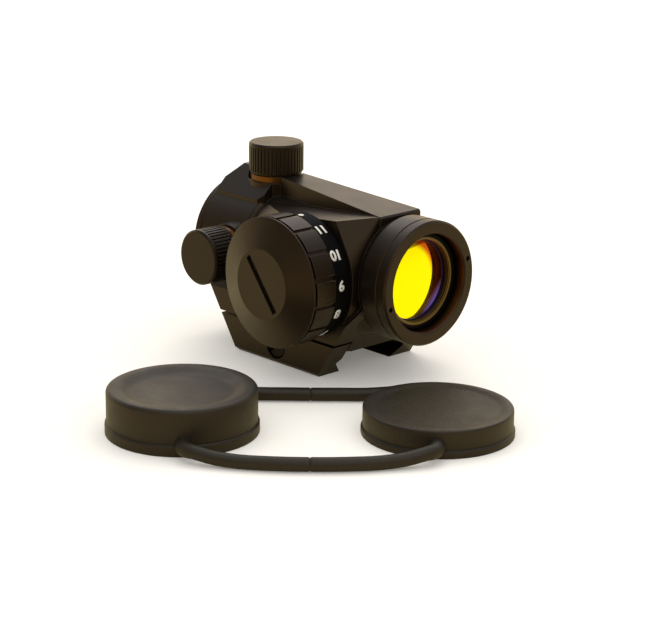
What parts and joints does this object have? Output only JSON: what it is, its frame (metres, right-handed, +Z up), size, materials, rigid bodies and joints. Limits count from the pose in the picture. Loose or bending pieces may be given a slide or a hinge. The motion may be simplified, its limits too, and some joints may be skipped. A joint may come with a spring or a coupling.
{
  "type": "red dot finder",
  "caption": "Compact tube-type red dot finder with ribbed turret caps, a brightness dial with its battery cap, a cross-bolt rail clamp and corded rubber lens covers lying beside it.",
  "frame": {"origin": "middle of the flat seat that rests on the rail's top, half way along the rail clamp", "axes": "+X forward along the line of sight, towards the objective; +Y to the left; +Z up from the rail"},
  "size_m": [0.1028, 0.0899, 0.0472],
  "materials": {
    "black_aluminium": "black anodised, satin",
    "inner_aluminium": "black anodised, matt",
    "brass": "turned",
    "steel": "turned",
    "blackened_steel": "blackened",
    "seal_rubber": "smooth",
    "cover_rubber": "matt moulded",
    "cord_rubber": "smooth",
    "coated_glass": "mirror coated",
    "window_glass": "polished",
    "black_plastic": "moulded",
    "board": "laminate",
    "led_plastic": "clear red"
  },
  "bodies": {
    "housing": {"housing": "black_aluminium", "objective_bezel": "black_aluminium", "objective_seal": "seal_rubber", "eyepiece_bezel": "black_aluminium", "eyepiece_window": "window_glass", "eyepiece_seal": "seal_rubber", "elevation_bush": "brass", "windage_bush": "brass", "tube_spring": "steel", "switch_board": "board", "centre_contact": "brass", "dial_retainer": "steel", "led_lead": "brass"},
    "dial": {"brightness_dial": "black_aluminium", "battery_tray": "black_plastic", "switch_wiper": "brass", "battery": "steel", "detent_ball": "steel", "detent_spring": "steel"},
    "battery_seal": {"battery_cap_seal": "seal_rubber"},
    "battery_cap": {"battery_cap": "black_aluminium", "battery_contact": "brass"},
    "elevation_seal": {"elevation_cap_seal": "seal_rubber"},
    "elevation_cap": {"elevation_cap": "black_aluminium"},
    "windage_seal": {"windage_cap_seal": "seal_rubber"},
    "windage_cap": {"windage_cap": "black_aluminium"},
    "elevation_drum": {"elevation_drum": "steel"},
    "elevation_plunger": {"elevation_plunger": "steel"},
    "windage_drum": {"windage_drum": "steel"},
    "windage_plunger": {"windage_plunger": "steel"},
    "pivot_ring": {"pivot_ring": "steel"},
    "tube": {"inner_tube": "inner_aluminium", "objective_lens": "coated_glass", "lens_retainer": "inner_aluminium", "led_holder": "black_plastic", "led_emitter": "led_plastic"},
    "clamp_plate": {"clamp_plate": "black_aluminium"},
    "clamp_bolt": {"clamp_bolt": "blackened_steel"},
    "cover_set": {"objective_cover": "cover_rubber", "eyepiece_cover": "cover_rubber", "cover_cord_front": "cord_rubber", "cover_cord_back": "cord_rubber"}
  },
  "joints": [
    {"name": "dial_turn", "type": "hinge", "parent": "housing", "child": "dial", "pos_m": [0.01, 0, 0.0177], "axis": [0, 1, 0], "range_deg": [0, 332.31]},
    {"name": "battery_cap_lift", "type": "slide", "parent": "dial", "child": "battery_seal", "axis": [0, -1, 0], "range_m": [0, 0.003]},
    {"name": "battery_cap_turn", "type": "hinge", "parent": "battery_seal", "child": "battery_cap", "pos_m": [0.01, 0, 0.0177], "axis": [0, -1, 0], "range_deg": [0, 1081]},
    {"name": "elevation_cap_lift", "type": "slide", "parent": "housing", "child": "elevation_seal", "axis": [0, 0, 1], "range_m": [0, 0.003]},
    {"name": "elevation_cap_turn", "type": "hinge", "parent": "elevation_seal", "child": "elevation_cap", "pos_m": [-0.0167, 0, 0.0177], "axis": [0, 0, 1], "range_deg": [0, 1441]},
    {"name": "windage_cap_lift", "type": "slide", "parent": "housing", "child": "windage_seal", "axis": [0, -1, 0], "range_m": [0, 0.003]},
    {"name": "windage_cap_turn", "type": "hinge", "parent": "windage_seal", "child": "windage_cap", "pos_m": [-0.0167, 0, 0.0177], "axis": [0, -1, 0], "range_deg": [0, 1441]},
    {"name": "elevation_push", "type": "slide", "parent": "housing", "child": "elevation_plunger", "axis": [0, 0, 1], "range_m": [-0.00075, 0.00075]},
    {"name": "elevation_turn", "type": "hinge", "parent": "housing", "child": "elevation_drum", "pos_m": [-0.0167, 0, 0.0177], "axis": [0, 0, 1], "range_deg": [-541, 541]},
    {"name": "windage_push", "type": "slide", "parent": "housing", "child": "windage_plunger", "axis": [0, -1, 0], "range_m": [-0.00075, 0.00075]},
    {"name": "windage_turn", "type": "hinge", "parent": "housing", "child": "windage_drum", "pos_m": [-0.0167, 0, 0.0177], "axis": [0, -1, 0], "range_deg": [-541, 541]},
    {"name": "elevation_tilt", "type": "hinge", "parent": "housing", "child": "pivot_ring", "pos_m": [0.024, 0, 0.0177], "axis": [0, 1, 0], "range_deg": [-1.06, 1.06], "deforming": ["tube_spring", "led_lead"]},
    {"name": "windage_tilt", "type": "hinge", "parent": "pivot_ring", "child": "tube", "pos_m": [0.024, 0, 0.0177], "axis": [0, 0, 1], "range_deg": [-1.06, 1.06], "deforming": ["tube_spring", "led_lead"]},
    {"name": "clamp_open", "type": "slide", "parent": "housing", "child": "clamp_plate", "axis": [0, -1, 0], "range_m": [0, 0.003]},
    {"name": "clamp_bolt_turn", "type": "hinge", "parent": "clamp_plate", "child": "clamp_bolt", "pos_m": [0, 0, -0.0012], "axis": [0, -1, 0], "range_deg": [0, 1801]},
    {"name": "covers_move", "type": "slide", "parent": "housing", "child": "cover_set", "axis": [0, -1, 0], "range_m": [0, 0.06]}
  ],
  "couplings": [
    {"joint": "battery_cap_turn", "follows": "battery_cap_lift", "rad_per_m": 6283.2},
    {"joint": "elevation_cap_turn", "follows": "elevation_cap_lift", "rad_per_m": 8377.6},
    {"joint": "windage_cap_turn", "follows": "windage_cap_lift", "rad_per_m": 8377.6},
    {"joint": "elevation_turn", "follows": "elevation_push", "rad_per_m": 12566},
    {"joint": "windage_turn", "follows": "windage_push", "rad_per_m": 12566},
    {"joint": "elevation_tilt", "follows": "elevation_push", "rad_per_m": 24.57},
    {"joint": "windage_tilt", "follows": "windage_push", "rad_per_m": 24.57},
    {"joint": "clamp_bolt_turn", "follows": "clamp_open", "rad_per_m": 10472}
  ]
}
